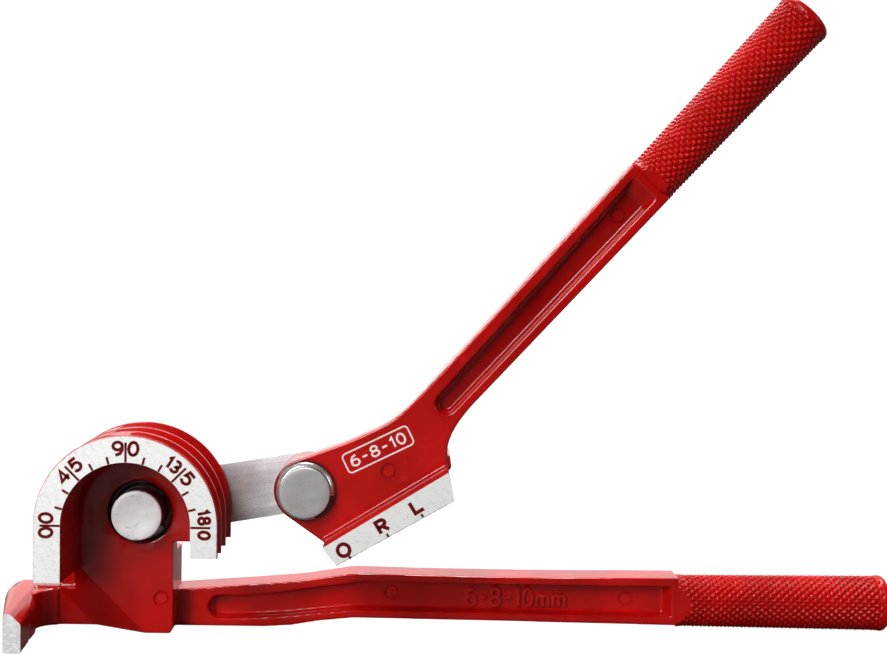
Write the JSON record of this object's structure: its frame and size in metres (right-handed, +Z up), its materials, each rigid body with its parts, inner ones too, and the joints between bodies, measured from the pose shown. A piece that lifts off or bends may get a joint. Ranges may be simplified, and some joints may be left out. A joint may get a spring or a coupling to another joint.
{
  "type": "hand tube bender",
  "caption": "Hand tube bender with a half-round grooved former, a hook, a hinged bending shoe on a steel strap, and two knurled lever handles.",
  "frame": {"origin": "on the floor under the former pivot, at the middle of the lower casting's rear base", "axes": "+X from the former to the end of the lower handle, +Y from the scale ring to the rear along the pins, +Z up"},
  "size_m": [0.2573, 0.0424, 0.1814],
  "materials": {
    "red_casting": "gloss red coat over a die casting",
    "strap_steel": "satin",
    "pin_steel": "turned, lightly scratched",
    "ring_steel": "spring steel, satin",
    "washer_steel": "plated, satin"
  },
  "bodies": {
    "base": {"lower_handle": "red_casting"},
    "link": {"link_strap": "strap_steel", "former_pin": "pin_steel", "shoe_pin": "pin_steel", "former_pin_ring": "ring_steel", "shoe_pin_ring": "ring_steel", "former_washer": "washer_steel", "shoe_washer": "washer_steel"},
    "lever": {"upper_handle": "red_casting"}
  },
  "joints": [
    {"name": "link_pivot", "type": "hinge", "parent": "base", "child": "link", "pos_m": [0, -0.012, 0.0348], "axis": [0, -1, 0], "range_deg": [-10, 170]},
    {"name": "shoe_pivot", "type": "hinge", "parent": "link", "child": "lever", "pos_m": [0.047, -0.012, 0.04305], "axis": [0, -1, 0], "range_deg": [-112, 60]}
  ]
}
